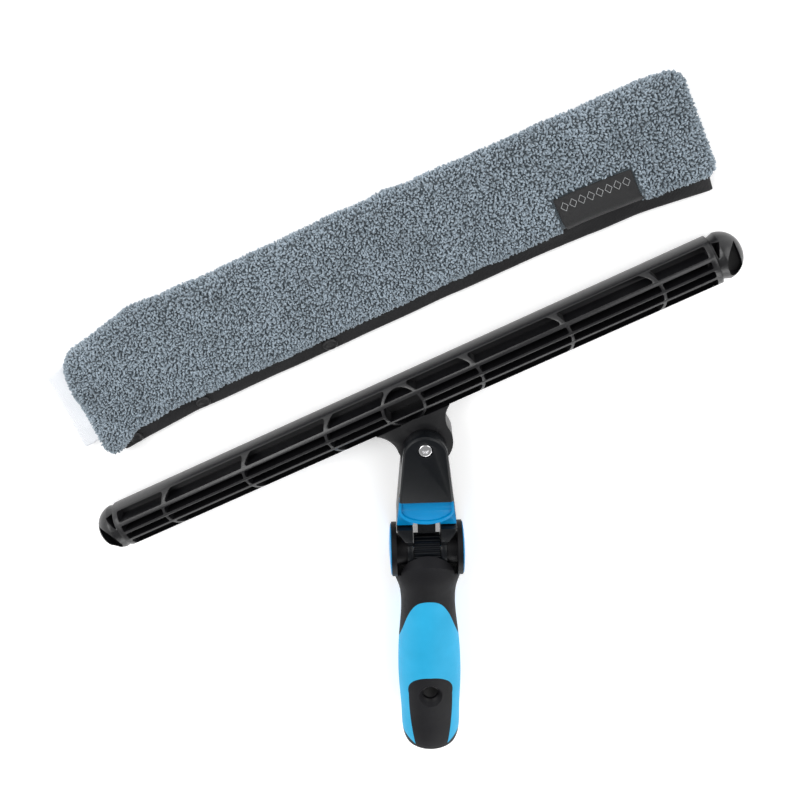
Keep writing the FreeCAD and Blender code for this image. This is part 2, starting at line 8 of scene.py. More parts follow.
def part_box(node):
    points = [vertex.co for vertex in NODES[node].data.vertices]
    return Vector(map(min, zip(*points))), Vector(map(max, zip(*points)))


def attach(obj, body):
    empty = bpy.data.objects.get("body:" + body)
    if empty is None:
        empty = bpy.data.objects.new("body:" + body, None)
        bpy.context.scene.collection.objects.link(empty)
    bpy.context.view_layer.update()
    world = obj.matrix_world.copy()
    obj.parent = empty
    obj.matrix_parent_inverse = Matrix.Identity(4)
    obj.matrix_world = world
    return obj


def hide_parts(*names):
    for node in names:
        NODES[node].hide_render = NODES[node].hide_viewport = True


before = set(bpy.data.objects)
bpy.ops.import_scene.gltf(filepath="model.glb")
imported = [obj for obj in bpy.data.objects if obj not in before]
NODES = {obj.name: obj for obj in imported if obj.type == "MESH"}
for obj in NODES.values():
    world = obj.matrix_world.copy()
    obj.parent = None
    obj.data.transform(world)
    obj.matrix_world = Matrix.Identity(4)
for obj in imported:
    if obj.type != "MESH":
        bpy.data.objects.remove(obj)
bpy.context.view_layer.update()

MM = 0.001
noise.seed_set(7)


# ---- small helpers ----
def new_piece(name, mesh_maker, material, body, smooth=True):
    """Builds a mesh with bmesh, makes it an object in place and lets it ride on its body."""
    bm = bmesh.new()
    mesh_maker(bm)
    bmesh.ops.recalc_face_normals(bm, faces=bm.faces)
    mesh = bpy.data.meshes.new(name)
    bm.to_mesh(mesh)
    bm.free()
    piece = bpy.data.objects.new(name, mesh)
    bpy.context.scene.collection.objects.link(piece)
    if material:
        mesh.materials.append(material)
    if smooth:
        for face in mesh.polygons:
            face.use_smooth = True
    if body:
        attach(piece, body)
    return piece


def rounded_slab(bm, low, high, radius, cuts, shape=None):
    """A block with all its edges rounded, finely divided, then reshaped point by point."""
    low, high = Vector(low), Vector(high)
    size = high - low
    middle = (high + low) / 2
    bmesh.ops.create_cube(bm, size=1.0)
    bmesh.ops.scale(bm, vec=size, verts=bm.verts)
    for axis, count in enumerate(cuts):
        across = [e for e in bm.edges
                  if abs((e.verts[0].co - e.verts[1].co)[axis]) > 0.9 * size[axis]]
        bmesh.ops.subdivide_edges(bm, edges=across, cuts=count, use_grid_fill=True)
    core = [max(size[i] / 2 - radius, 0.0) for i in range(3)]
    for vert in bm.verts:
        inner = Vector([min(max(vert.co[i], -core[i]), core[i]) for i in range(3)])
        out = vert.co - inner
        if out.length > 1e-9:
            reach = [min(radius, size[i] / 2) for i in range(3)]
            out.normalize()
            out = Vector([out[i] * reach[i] for i in range(3)])
        vert.co = inner + out + middle
        if shape:
            vert.co = shape(vert.co)


# ---- shader groups ----
def socket(group, name, kind, way, value=None):
    made = group.interface.new_socket(name, in_out=way, socket_type=kind)
    if value is not None:
        made.default_value = value
    return made


def surface_group(name, build, inputs, outputs):
    group = bpy.data.node_groups.new(name, "ShaderNodeTree")
    for label, kind, value in inputs:
        socket(group, label, kind, "INPUT", value)
    for label, kind in outputs:
        socket(group, label, kind, "OUTPUT")
    ends = group.nodes.new("NodeGroupInput"), group.nodes.new("NodeGroupOutput")
    build(group.nodes, group.links, ends[0].outputs, ends[1].inputs)
    return group


def noise_at(nodes, links, scale, detail, offset=0.0):
    place = nodes.new("ShaderNodeTexCoord")
    texture = nodes.new("ShaderNodeTexNoise")
    texture.inputs["Detail"].default_value = detail
    texture.inputs["Roughness"].default_value = 0.55
    if isinstance(scale, float):
        texture.inputs["Scale"].default_value = scale
    else:
        links.new(scale, texture.inputs["Scale"])
    shift = nodes.new("ShaderNodeVectorMath")
    shift.inputs[1].default_value = (offset, offset * 1.7, offset * 0.6)
    links.new(place.outputs["Object"], shift.inputs[0])
    links.new(shift.outputs[0], texture.inputs["Vector"])
    return texture.outputs["Fac"]


def spread(nodes, links, value, low, high):
    remap = nodes.new("ShaderNodeMapRange")
    remap.inputs["From Min"].default_value = 0.3
    remap.inputs["From Max"].default_value = 0.7
    remap.clamp = True
    links.new(value, remap.inputs["Value"])
    for name, end in (("To Min", low), ("To Max", high)):
        if isinstance(end, float):
            remap.inputs[name].default_value = end
        else:
            links.new(end, remap.inputs[name])
    return remap.outputs[0]


def build_moulding(nodes, links, given, out):
    """Moulded plastic or rubber: fine spark-eroded grain, faint cloudiness, handling marks."""
    cloud = noise_at(nodes, links, 55.0, 3.0)
    marks = noise_at(nodes, links, 420.0, 5.0, 3.0)
    shade = spread(nodes, links, cloud, 0.0, 1.0)
    mix = nodes.new("ShaderNodeMix")
    mix.data_type = "RGBA"
    links.new(shade, mix.inputs[0])
    links.new(given["Dark"], mix.inputs[6])
    links.new(given["Light"], mix.inputs[7])
    links.new(mix.outputs[2], out["Color"])
    rough = nodes.new("ShaderNodeMath")
    rough.operation = "MULTIPLY_ADD"
    links.new(marks, rough.inputs[0])
    links.new(given["Rough spread"], rough.inputs[1])
    links.new(given["Rough"], rough.inputs[2])
    links.new(rough.outputs[0], out["Roughness"])
    grain = noise_at(nodes, links, given["Grain size"], 3.0, 1.0)
    bump = nodes.new("ShaderNodeBump")
    links.new(given["Grain depth"], bump.inputs["Strength"])
    bump.inputs["Distance"].default_value = 0.0002
    links.new(grain, bump.inputs["Height"])
    links.new(bump.outputs[0], out["Normal"])


def build_weave(nodes, links, given, out):
    """Woven tape: two crossed sets of ribs with a little unevenness."""
    place = nodes.new("ShaderNodeTexCoord")
    heights = []
    for direction in ("X", "Y"):
        wave = nodes.new("ShaderNodeTexWave")
        wave.bands_direction = direction
        wave.inputs["Distortion"].default_value = 0.6
        wave.inputs["Detail"].default_value = 1.0
        links.new(given["Thread size"], wave.inputs["Scale"])
        links.new(place.outputs["Object"], wave.inputs["Vector"])
        heights.append(wave.outputs["Fac"])
    both = nodes.new("ShaderNodeMath")
    both.operation = "MULTIPLY"
    links.new(heights[0], both.inputs[0])
    links.new(heights[1], both.inputs[1])
    mix = nodes.new("ShaderNodeMix")
    mix.data_type = "RGBA"
    links.new(both.outputs[0], mix.inputs[0])
    links.new(given["Dark"], mix.inputs[6])
    links.new(given["Light"], mix.inputs[7])
    links.new(mix.outputs[2], out["Color"])
    bump = nodes.new("ShaderNodeBump")
    bump.inputs["Strength"].default_value = 0.6
    bump.inputs["Distance"].default_value = 0.0003
    links.new(both.outputs[0], bump.inputs["Height"])
    links.new(bump.outputs[0], out["Normal"])


COLOUR, NUMBER, DIRECTION = "NodeSocketColor", "NodeSocketFloat", "NodeSocketVector"
MOULDING = surface_group(
    "moulding", build_moulding,
    [("Dark", COLOUR, (0, 0, 0, 1)), ("Light", COLOUR, (1, 1, 1, 1)), ("Rough", NUMBER, 0.4),
     ("Rough spread", NUMBER, 0.1), ("Grain size", NUMBER, 1500.0), ("Grain depth", NUMBER, 0.2)],
    [("Color", COLOUR), ("Roughness", NUMBER), ("Normal", DIRECTION)])
WEAVE = surface_group(
    "weave", build_weave,
    [("Dark", COLOUR, (0, 0, 0, 1)), ("Light", COLOUR, (1, 1, 1, 1)), ("Thread size", NUMBER, 400.0)],
    [("Color", COLOUR), ("Normal", DIRECTION)])


def shaded(name):
    material = bpy.data.materials.new(name)
    material.use_nodes = True
    return material, material.node_tree.nodes, material.node_tree.links


def moulded(name, dark, light, rough, spread_by, grain_size, grain_depth, specular=0.5, coat=0.0, metal=0.0):
    material, nodes, links = shaded(name)
    shader = nodes["Principled BSDF"]
    group = nodes.new("ShaderNodeGroup")
    group.node_tree = MOULDING
    for label, value in (("Dark", (*dark, 1)), ("Light", (*light, 1)), ("Rough", rough),
                         ("Rough spread", spread_by), ("Grain size", grain_size),
                         ("Grain depth", grain_depth)):
        group.inputs[label].default_value = value
    links.new(group.outputs["Color"], shader.inputs["Base Color"])
    links.new(group.outputs["Roughness"], shader.inputs["Roughness"])
    links.new(group.outputs["Normal"], shader.inputs["Normal"])
    shader.inputs["Specular IOR Level"].default_value = specular
    shader.inputs["Coat Weight"].default_value = coat
    shader.inputs["Metallic"].default_value = metal
    return material


def woven(name, dark, light, thread_size, rough=0.85, sheen=0.2):
    material, nodes, links = shaded(name)
    shader = nodes["Principled BSDF"]
    group = nodes.new("ShaderNodeGroup")
    group.node_tree = WEAVE
    group.inputs["Dark"].default_value = (*dark, 1)
    group.inputs["Light"].default_value = (*light, 1)
    group.inputs["Thread size"].default_value = thread_size
    links.new(group.outputs["Color"], shader.inputs["Base Color"])
    links.new(group.outputs["Normal"], shader.inputs["Normal"])
    shader.inputs["Roughness"].default_value = rough
    shader.inputs["Sheen Weight"].default_value = sheen
    return material


def pile_material(name, dark, light):
    """Microfibre: each tuft has its own random tone, with painted shade at its root and a painted highlight
    at its tip.
    """
    material, nodes, links = shaded(name)
    shader = nodes["Principled BSDF"]
    # per-tuft attribute: random tone plus painted root shade and painted tip highlight
    tuft = nodes.new("ShaderNodeAttribute")
    tuft.attribute_name = "tuft_tone_and_root_shade"
    patch = noise_at(nodes, links, 45.0, 3.0)
    patchy = spread(nodes, links, patch, -0.10, 0.10)
    total = nodes.new("ShaderNodeMath")
    total.operation = "ADD"
    total.use_clamp = True
    links.new(tuft.outputs["Fac"], total.inputs[0])
    links.new(patchy, total.inputs[1])
    mix = nodes.new("ShaderNodeMix")
    mix.data_type = "RGBA"
    links.new(total.outputs[0], mix.inputs[0])
    mix.inputs[6].default_value = (*dark, 1)
    mix.inputs[7].default_value = (*light, 1)
    links.new(mix.outputs[2], shader.inputs["Base Color"])
    fibre = noise_at(nodes, links, 2600.0, 4.0, 2.0)
    bump = nodes.new("ShaderNodeBump")
    bump.inputs["Strength"].default_value = 0.7
    bump.inputs["Distance"].default_value = 0.0004
    links.new(fibre, bump.inputs["Height"])
    links.new(bump.outputs[0], shader.inputs["Normal"])
    shader.inputs["Roughness"].default_value = 0.92
    shader.inputs["Sheen Weight"].default_value = 0.35
    shader.inputs["Sheen Roughness"].default_value = 0.5
    shader.inputs["Specular IOR Level"].default_value = 0.2
    return material


BAR_BLACK = moulded("bar_black", (0.003, 0.003, 0.004), (0.007, 0.007, 0.008), 0.27, 0.16, 1300.0, 0.22, 0.6)
NECK_BLACK = moulded("neck_black", (0.002, 0.003, 0.004), (0.004, 0.005, 0.007),
                     0.28, 0.12, 1600.0, 0.2, 0.25)
CORE_BLACK = moulded("core_black", (0.002, 0.002, 0.003), (0.004, 0.004, 0.005), 0.40, 0.14, 1600.0, 0.3, 0.2)
THUMB_BLUE = moulded("thumb_blue", (0.000, 0.215, 0.490), (0.000, 0.250, 0.560),
                     0.26, 0.10, 1500.0, 0.12, 0.3)
CAP_BLUE = moulded("cap_blue", (0.003, 0.27, 0.62), (0.005, 0.31, 0.68), 0.28, 0.10, 1500.0, 0.15, 0.4)
GRIP_DARK = moulded("grip_dark_rubber", (0.005, 0.005, 0.006), (0.008, 0.008, 0.010),
                    0.50, 0.14, 2400.0, 0.45, 0.15)
GRIP_BLUE = moulded("grip_blue_rubber", (0.010, 0.34, 0.60), (0.018, 0.385, 0.67),
                    0.48, 0.12, 2400.0, 0.4, 0.25)
STEEL = moulded("bright_steel", (0.66, 0.66, 0.68), (0.80, 0.80, 0.81), 0.16, 0.14, 900.0, 0.15, metal=1.0)
NYLON = moulded("natural_nylon", (0.70, 0.68, 0.62), (0.80, 0.78, 0.72), 0.45, 0.1, 1500.0, 0.1)
STUD_BLACK = moulded("stud_black", (0.006, 0.006, 0.007), (0.012, 0.012, 0.013), 0.28, 0.1, 1500.0, 0.1)
TAPE_BLACK = woven("edge_tape_black", (0.002, 0.002, 0.003), (0.007, 0.007, 0.009), 520.0, 0.8, 0.08)
LABEL_BLACK = woven("label_satin", (0.002, 0.002, 0.003), (0.005, 0.005, 0.006), 800.0, 0.5, 0.04)
LABEL_THREAD = woven("label_thread", (0.40, 0.41, 0.42), (0.62, 0.63, 0.64), 500.0, 0.6, 0.1)
PAD_WHITE = woven("pad_white", (0.82, 0.84, 0.88), (0.93, 0.95, 0.98), 330.0, 0.9, 0.2)
PILE_GREY = pile_material("pile_grey", (0.070, 0.094, 0.114), (0.375, 0.450, 0.515))
# the backing is coloured darker than the tufts: painted shade deep in the pile between them
SHADED_PILE_BACKING = woven("pile_backing", (0.050, 0.066, 0.078), (0.120, 0.150, 0.170), 300.0, 0.95)

FINISHES = {
    "bar_body": BAR_BLACK, "bar_end_cap_left": BAR_BLACK, "bar_end_cap_right": BAR_BLACK,
    "swivel_bush": STEEL, "swivel_washers": NYLON, "swivel_screw": STEEL, "swivel_nut": STEEL,
    "neck_body": NECK_BLACK, "lock_slide": THUMB_BLUE, "lock_pawl": NECK_BLACK, "lock_spring": STEEL,
    "detent_wheel": NECK_BLACK, "tilt_pin": STEEL, "pivot_cap_left": CAP_BLUE, "pivot_cap_right": CAP_BLUE,
    "grip_core": CORE_BLACK, "grip_rubber": GRIP_DARK, "grip_end_rubber": GRIP_DARK, "grip_insert": GRIP_BLUE,
    "snap_caps": STUD_BLACK, "snap_sockets": STUD_BLACK,
}
for node_name, finish in FINISHES.items():
    slots = NODES[node_name].material_slots
    if len(slots) == 0:
        NODES[node_name].data.materials.append(finish)
    for held in slots:
        held.material = finish


# ---- softened edges on the hard mouldings ----
def soften(node_name, body, width):
    """A copy of a hard moulding with its sharp edges broken, as they leave the mould."""
    source = NODES[node_name]
    mesh = source.data.copy()
    bm = bmesh.new()
    bm.from_mesh(mesh)
    bmesh.ops.remove_doubles(bm, verts=bm.verts, dist=0.000002)
    bmesh.ops.dissolve_limit(bm, angle_limit=math.radians(1.0), verts=bm.verts, edges=bm.edges,
                             delimit={"NORMAL"})
    for face in bm.faces:
        face.smooth = True
    for edge in bm.edges:
        edge.smooth = True
    bm.to_mesh(mesh)
    bm.free()
    piece = bpy.data.objects.new(node_name + "_moulding", mesh)
    bpy.context.scene.collection.objects.link(piece)
    bevel = piece.modifiers.new("broken edges", "BEVEL")
    bevel.width = width
    bevel.segments = 2
    bevel.limit_method = "ANGLE"
    bevel.angle_limit = math.radians(32)
    bevel.use_clamp_overlap = True
    bevel.harden_normals = True
    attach(piece, body)
    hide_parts(node_name)
    return piece


soften("bar_body", "tbar", 0.35 * MM)
for end in ("bar_end_cap_left", "bar_end_cap_right"):
    soften(end, "tbar", 0.35 * MM)
soften("neck_body", "neck", 0.45 * MM)
soften("lock_slide", "thumb_slide", 0.40 * MM)

# ---- sleeve ----
COVER_LOW, COVER_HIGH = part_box("sleeve_cover")
COVER_MID = (COVER_LOW + COVER_HIGH) / 2
COVER_SIZE = COVER_HIGH - COVER_LOW
STRIP_LOW, STRIP_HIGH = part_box("sleeve_edge_strip")
LABEL_LOW, LABEL_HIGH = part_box("sleeve_label")
# how the limp sleeve strays sideways from straight, mm: (share of its length, closing edge, far edge)
STRAY = ((0.0, -1.6, 2.4), (0.06, 0.0, 3.8), (0.15, 1.7, 4.4), (0.22, 1.4, 2.4), (0.30, 1.0, 1.2),
         (0.50, 0.7, 0.4), (0.63, 0.7, -1.4), (0.72, -0.3, -2.9), (0.80, -0.6, -3.7), (0.87, -2.2, -4.8),
         (0.93, -4.3, -5.4), (1.0, -6.8, -5.9))
PILE_DEPTH = 1.5 * MM


def ramp(value, low, high):
    share = min(max((value - low) / (high - low), 0.0), 1.0)
    return share * share * (3 - 2 * share)


def stray(x, y):
    """Sideways shift at a place on the sleeve, blended from the closing edge to the far edge."""
    share = min(max((x - COVER_LOW.x) / COVER_SIZE.x, 0.0), 1.0)
    inward = min(max((y - COVER_LOW.y) / COVER_SIZE.y, 0.0), 1.0)
    for (start, near_a, far_a), (end, near_b, far_b) in zip(STRAY, STRAY[1:]):
        if share <= end:
            part = (share - start) / (end - start)
            near = near_a + part * (near_b - near_a)
            far = far_a + part * (far_b - far_a)
            return (near + inward * (far - near)) * MM
    return 0.0


def lie_of_sleeve(point):
    """How the limp sleeve lies: gentle folds, uneven edges, ends drawn in and rounded."""
    along = point.x - COVER_MID.x
    across = (point.y - COVER_MID.y) / (COVER_SIZE.y / 2)
    wave = noise.noise(Vector((along * 20, across * 0.8, 1.3)))
    fine = noise.noise(Vector((along * 55, across * 1.5, 4.1)))
    lift = 0.5 + 0.5 * min(point.z / COVER_SIZE.z * 2, 1.0)
    height = point.z * (1.0 + lift * (0.06 * wave + 0.04 * fine))
    half = COVER_SIZE.x / 2
    left_draw = ramp(-along, half - 0.060, half)
    right_draw = ramp(along, half - 0.020, half)
    y = point.y + stray(point.x, point.y)
    if across > 0:
        y += across * 0.0008 * noise.noise(Vector((along * 75, 0, 9.0)))
        y -= across * (0.0060 * left_draw + 0.0020 * right_draw)
    else:
        y += across * 0.0011 * noise.noise(Vector((along * 95, 0, 3.0)))
        y -= 0.0075 * ramp(-along, half - 0.024, half - 0.006) * across * across
    x = point.x + left_draw * (0.007 * max(across, 0.0) ** 2 - 0.004 * max(-across, 0.0) ** 2)
    return Vector((x, y, max(height, 0.0)))


def sleeve_base(bm):
    edge = Vector((PILE_DEPTH, PILE_DEPTH, PILE_DEPTH))
    rounded_slab(bm, COVER_LOW + edge, COVER_HIGH - edge, 5.8 * MM, (170, 38, 5), lie_of_sleeve)


base = new_piece("sleeve_backing", sleeve_base, SHADED_PILE_BACKING, "sleeve")
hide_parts("sleeve_cover", "sleeve_lining")


def under_label(place):
    y = place.y - stray(place.x, place.y)
    return (LABEL_LOW.x - 0.0006 < place.x < LABEL_HIGH.x + 0.0006
            and y < LABEL_HIGH.y + 0.0004 and place.z > 0.004)


def mark_tuft_side(piece):
    """Gives each face of the backing the side that its tufts belong to: 1 above, -1 below, 0 bare."""
    side = piece.data.attributes.new("tuft_side", "FLOAT", "FACE")
    for face in piece.data.polygons:
        if under_label(face.center):
            side.data[face.index].value = 0.0
        else:
            side.data[face.index].value = 1.0 if face.normal.z > -0.35 else -1.0


mark_tuft_side(base)


def tuft_shape(bm):
    """One short curl of microfibre: a blunt bent finger, root at the origin."""
    height = 2.0 * MM
    bmesh.ops.create_cone(bm, cap_ends=True, segments=5, radius1=0.50 * MM, radius2=0.34 * MM, depth=height)
    around = [e for e in bm.edges if abs(e.verts[0].co.z - e.verts[1].co.z) > MM]
    bmesh.ops.subdivide_edges(bm, edges=around, cuts=1)
    for vert in bm.verts:
        rise = vert.co.z / height + 0.5
        swell = 1.0 + 0.30 * math.sin(math.pi * rise)
        vert.co.x = vert.co.x * swell + 0.55 * MM * rise * rise
        vert.co.y = vert.co.y * swell + 0.30 * MM * math.sin(rise * 3.0)
        vert.co.z = vert.co.z + 0.55 * MM


def scatter_tufts(name, ground, tuft, gap, per_m2, side, seed):
    """Covers one side of the backing with tufts, each turned its own way and with its own shade."""
    group = bpy.data.node_groups.new(name, "GeometryNodeTree")
    socket(group, "Geometry", "NodeSocketGeometry", "OUTPUT")
    nodes, links = group.nodes, group.links
    put = nodes.new("NodeGroupOutput")
    source = nodes.new("GeometryNodeObjectInfo")
    source.inputs["Object"].default_value = ground
    finger = nodes.new("GeometryNodeObjectInfo")
    finger.inputs["Object"].default_value = tuft
    marked = nodes.new("GeometryNodeInputNamedAttribute")
    marked.data_type = "FLOAT"
    marked.inputs["Name"].default_value = "tuft_side"
    chosen = nodes.new("FunctionNodeCompare")
    chosen.data_type = "FLOAT"
    chosen.operation = "GREATER_THAN" if side > 0 else "LESS_THAN"
    chosen.inputs[1].default_value = 0.5 * side
    links.new(marked.outputs[0], chosen.inputs[0])
    points = nodes.new("GeometryNodeDistributePointsOnFaces")
    points.distribute_method = "POISSON"
    points.inputs["Distance Min"].default_value = gap
    points.inputs["Density Max"].default_value = per_m2
    points.inputs["Seed"].default_value = seed
    links.new(source.outputs["Geometry"], points.inputs["Mesh"])
    links.new(chosen.outputs[0], points.inputs["Selection"])
    shade = nodes.new("FunctionNodeRandomValue")
    shade.data_type = "FLOAT"
    shade.inputs[2].default_value = 0.25
    shade.inputs[3].default_value = 0.75
    shade.inputs["Seed"].default_value = seed + 1
    keep = nodes.new("GeometryNodeStoreNamedAttribute")
    keep.data_type = "FLOAT"
    keep.domain = "POINT"
    keep.inputs["Name"].default_value = "tuft_tone_and_root_shade"
    links.new(points.outputs["Points"], keep.inputs["Geometry"])
    links.new(shade.outputs[1], keep.inputs["Value"])
    stand = nodes.new("GeometryNodeInstanceOnPoints")
    links.new(keep.outputs[0], stand.inputs["Points"])
    links.new(finger.outputs["Geometry"], stand.inputs["Instance"])
    links.new(points.outputs["Rotation"], stand.inputs["Rotation"])
    size = nodes.new("FunctionNodeRandomValue")
    size.data_type = "FLOAT"
    size.inputs[2].default_value = 0.75
    size.inputs[3].default_value = 1.15
    size.inputs["Seed"].default_value = seed + 2
    links.new(size.outputs[1], stand.inputs["Scale"])
    turn = nodes.new("FunctionNodeRandomValue")
    turn.data_type = "FLOAT_VECTOR"
    turn.inputs[0].default_value = (-0.65, -0.65, 0.0)
    turn.inputs[1].default_value = (0.65, 0.65, 2 * math.pi)
    turn.inputs["Seed"].default_value = seed + 3
    lean = nodes.new("GeometryNodeRotateInstances")
    links.new(stand.outputs[0], lean.inputs["Instances"])
    links.new(turn.outputs[0], lean.inputs["Rotation"])
    real = nodes.new("GeometryNodeRealizeInstances")
    links.new(lean.outputs[0], real.inputs[0])
    links.new(real.outputs[0], put.inputs[0])
    carrier = bpy.data.objects.new(name, bpy.data.meshes.new(name))
    bpy.context.scene.collection.objects.link(carrier)
    grow = carrier.modifiers.new("tufts", "NODES")
    grow.node_group = group
    bpy.context.view_layer.update()
    grown = bpy.data.meshes.new_from_object(carrier.evaluated_get(bpy.context.evaluated_depsgraph_get()))
    carrier.modifiers.clear()
    carrier.data = grown
    grown.materials.clear()
    grown.materials.append(PILE_GREY)
    for vert in grown.vertices:
        vert.co.z = max(vert.co.z, 0.02 * MM)
    for face in grown.polygons:
        face.use_smooth = True
    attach(carrier, "sleeve")
    return carrier


def paint_root_shade_on_tufts(piece):
    """Paints shade on each tuft towards its root and a painted highlight towards its tip, by how deep it sits
    above the backing, standing in for the shade deep in the pile.
    """
    shades = piece.data.attributes["tuft_tone_and_root_shade"].data
    per_tuft = len(TUFT.data.vertices)
    heights = [v.co.z for v in TUFT.data.vertices]
    low, high = min(heights), max(heights)
    for index in range(len(shades)):
        rise = (heights[index % per_tuft] - low) / (high - low)
        # painted shade at the root, painted highlight at the tip, added to the tuft's random tone
        shades[index].value = min(max(shades[index].value + 0.6 * (rise - 0.5), 0.0), 1.0)


TUFT = new_piece("tuft_pattern", tuft_shape, PILE_GREY, None)
tufts_top = scatter_tufts("sleeve_pile_top", base, TUFT, 0.78 * MM, 3000000.0, 1, 11)
tufts_under = scatter_tufts("sleeve_pile_under", base, TUFT, 1.0 * MM, 1500000.0, -1, 23)
for tufts in (tufts_top, tufts_under):
    paint_root_shade_on_tufts(tufts)
bpy.data.objects.remove(TUFT)


STRIP_START = STRIP_LOW.x
STRIP_ROOT = COVER_LOW.y + 2.0 * MM
STRIP_RISE = 4.8 * MM


def lie_of_strip(point):
    """The closing strip hangs from the upper layer and slopes down to the table."""
    along = point.x - COVER_MID.x
    inward = min(max((point.y - STRIP_LOW.y) / (STRIP_ROOT - STRIP_LOW.y), 0.0), 1.0)
    free = 1.0 - inward
    y = point.y + stray(point.x, point.y) + 0.0007 * free * noise.noise(Vector((along * 35, 0.0, 6.0)))
    z = point.z + STRIP_RISE * inward * (0.85 + 0.3 * noise.noise(Vector((along * 30, 2.0, 5.0))))
    z += 0.0004 * noise.noise(Vector((along * 70, inward * 2.0, 8.0)))
    return Vector((point.x, y, max(z, 0.0001)))


def edge_strip(bm):
    low = Vector((STRIP_START, STRIP_LOW.y, STRIP_LOW.z + 0.0004))
    high = Vector((STRIP_HIGH.x, STRIP_ROOT, STRIP_HIGH.z))
    rounded_slab(bm, low, high, 1.2 * MM, (150, 10, 3), lie_of_strip)


strip = new_piece("sleeve_edge_tape", edge_strip, TAPE_BLACK, "sleeve")
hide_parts("sleeve_edge_strip")


def strip_stitches(bm):
    """A row of thread along the tape's outer edge."""
    pitch = 2.4 * MM
    count = int((STRIP_HIGH.x - STRIP_START) / pitch) - 2
    for i in range(count):
        spot = Vector((STRIP_START + (i + 1.5) * pitch, STRIP_LOW.y + 1.3 * MM, STRIP_HIGH.z))
        spot = lie_of_strip(spot) - Vector((0, 0, 0.00012))
        place = Matrix.Translation(spot) @ Matrix.Diagonal((1.5 * MM, 0.34 * MM, 0.26 * MM, 1))
        bmesh.ops.create_icosphere(bm, subdivisions=1, radius=0.5, matrix=place)


new_piece("edge_stitches", strip_stitches, TAPE_BLACK, "sleeve")


def turned(bm, profile, spot, slope, sides=40):
    """A round part from its (radius, height) profile, standing at a spot and tipped by a slope."""
    tip = Matrix.Translation(spot) @ Matrix.Rotation(slope, 4, "X")
    rings = []
    for radius, height in profile:
        ring = []
        for i in range(sides):
            angle = 2 * math.pi * i / sides
            place = Vector((radius * math.cos(angle), radius * math.sin(angle), height)) * MM
            ring.append(bm.verts.new(tip @ place))
        rings.append(ring)
    for lower, upper in zip(rings, rings[1:]):
        for i in range(sides):
            j = (i + 1) % sides
            bm.faces.new((lower[i], lower[j], upper[j], upper[i]))
    bm.faces.new(rings[0])
    bm.faces.new(rings[-1])


STUD_LOW, STUD_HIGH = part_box("snap_caps")
STUD_Y = (STUD_LOW.y + STUD_HIGH.y) / 2
STUD_SLOPE = math.atan2(STRIP_RISE, STRIP_ROOT - STRIP_LOW.y)
STUD_SHARES = (0.0, 0.3644, 1.0)


def stud_place(share):
    first, last = STUD_LOW.x + 3.7 * MM, STUD_HIGH.x - 3.7 * MM
    return Vector((first + share * (last - first), STUD_Y, STRIP_HIGH.z))


def stud_tops(bm):
    """Press stud caps: a rolled rim round a shallow dish."""
    profile = [(1.2, -1.6), (1.2, -0.3), (3.5, -0.3), (3.75, 0.1), (3.7, 0.65), (3.3, 0.95), (2.8, 0.85),
               (2.4, 0.45), (1.4, 0.35), (0.3, 0.42)]
    for share in STUD_SHARES:
        turned(bm, profile, lie_of_strip(stud_place(share)), STUD_SLOPE)


def stud_backs(bm):
    profile = [(0.4, 0.9), (1.2, 0.7), (2.6, 0.5), (3.0, 0.2), (2.6, -0.2), (1.3, -0.2),
               (1.1, 0.15), (0.4, 0.2)]
    for share in STUD_SHARES:
        place = stud_place(share)
        place.z = STRIP_LOW.z
        turned(bm, profile, lie_of_strip(place), STUD_SLOPE)


caps = new_piece("snap_tops", stud_tops, STUD_BLACK, "sleeve")
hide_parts("snap_caps")
backs = new_piece("snap_backs", stud_backs, STUD_BLACK, "sleeve")
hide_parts("snap_sockets")

LABEL_TOP = COVER_HIGH.z - 0.9 * MM
LABEL_FOOT = STRIP_HIGH.z + 2.4 * MM
LABEL_TURN = 6.5 * MM
LABEL_CURL = 0.008


def drape_of_label(point):
    """The label lies on the pile and turns down over the sleeve's rounded edge."""
    over = min(max((COVER_LOW.y + LABEL_TURN - point.y) / LABEL_TURN, 0.0), 1.0)
    drop = 1.0 - math.sqrt(max(1.0 - over * over, 0.0))
    z = point.z - (LABEL_TOP - LABEL_FOOT) * drop
    z += 0.0005 * noise.noise(Vector((point.x * 90, point.y * 60, 2.0)))
    corner = ramp(point.x, LABEL_HIGH.x - LABEL_CURL, LABEL_HIGH.x)
    corner *= ramp(point.y, LABEL_HIGH.y - LABEL_CURL, LABEL_HIGH.y)
    z += 0.0012 * corner
    y = point.y + stray(point.x, point.y) + 0.0006 * noise.noise(Vector((point.x * 60, 4.0, 2.0)))
    return Vector((point.x + 0.0012 * over, y, z))


def label_cloth(bm):
    low = Vector((LABEL_LOW.x, COVER_LOW.y + 0.3 * MM, LABEL_TOP - 0.5 * MM))
    high = Vector((LABEL_HIGH.x, LABEL_HIGH.y, LABEL_TOP))
    rounded_slab(bm, low, high, 0.25 * MM, (44, 30, 1), drape_of_label)


label = new_piece("sleeve_label_cloth", label_cloth, LABEL_BLACK, "sleeve")
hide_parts("sleeve_label")


